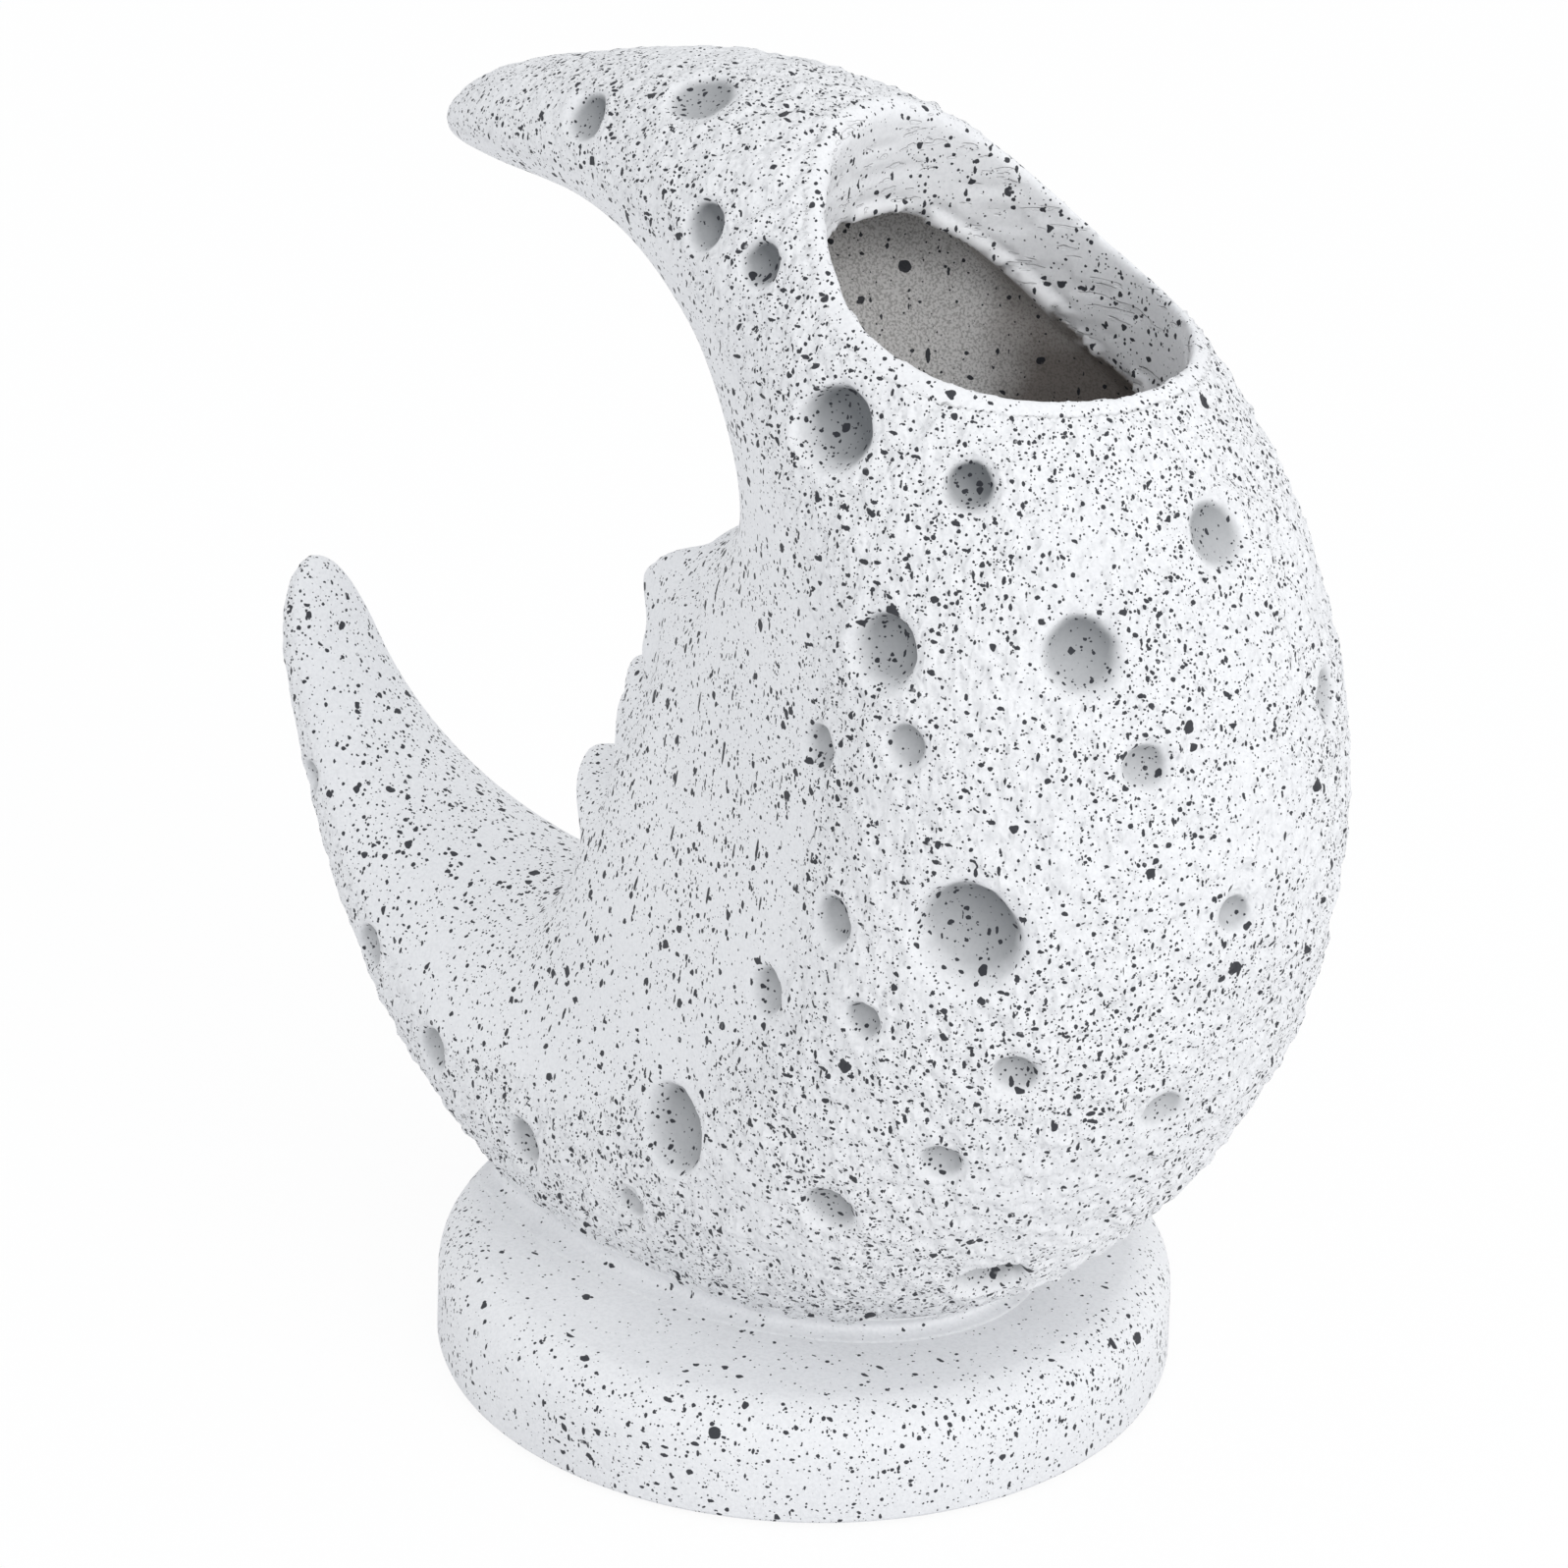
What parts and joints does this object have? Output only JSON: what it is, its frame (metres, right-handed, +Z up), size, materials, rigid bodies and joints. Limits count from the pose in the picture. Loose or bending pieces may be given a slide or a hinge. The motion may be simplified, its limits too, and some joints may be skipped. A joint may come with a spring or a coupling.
{
  "type": "resin planter",
  "caption": "Upright crescent moon planter with a face on its inner side, a round planting mouth in its back and a drained round plinth.",
  "frame": {"origin": "centre of the foot ring's underside, where the planter stands", "axes": "+Z up; -X towards the horns and the face, +X towards the ridge with the planting mouth; Y from side to side, the crescent is symmetric in the XZ plane"},
  "size_m": [0.274, 0.16, 0.2813],
  "materials": {
    "speckled_resin": "matte pale grey-white with charcoal speckle, stone-like on the flanks",
    "speckled_resin_base": "matte and smooth, pale grey-white with charcoal speckle",
    "bond_filler": "matte, wiped smooth by hand",
    "plug_rubber": "soft satin",
    "foot_rubber": "matte foam rubber"
  },
  "bodies": {
    "planter": {"moon_shell": "speckled_resin", "base_plinth": "speckled_resin_base", "foot_bond": "bond_filler", "foot_ring": "foot_rubber"},
    "plug": {"drain_plug": "plug_rubber"}
  },
  "joints": [
    {"name": "plug_pull", "type": "slide", "parent": "planter", "child": "plug", "axis": [0, 0, -1], "range_m": [0, 0.016]}
  ]
}
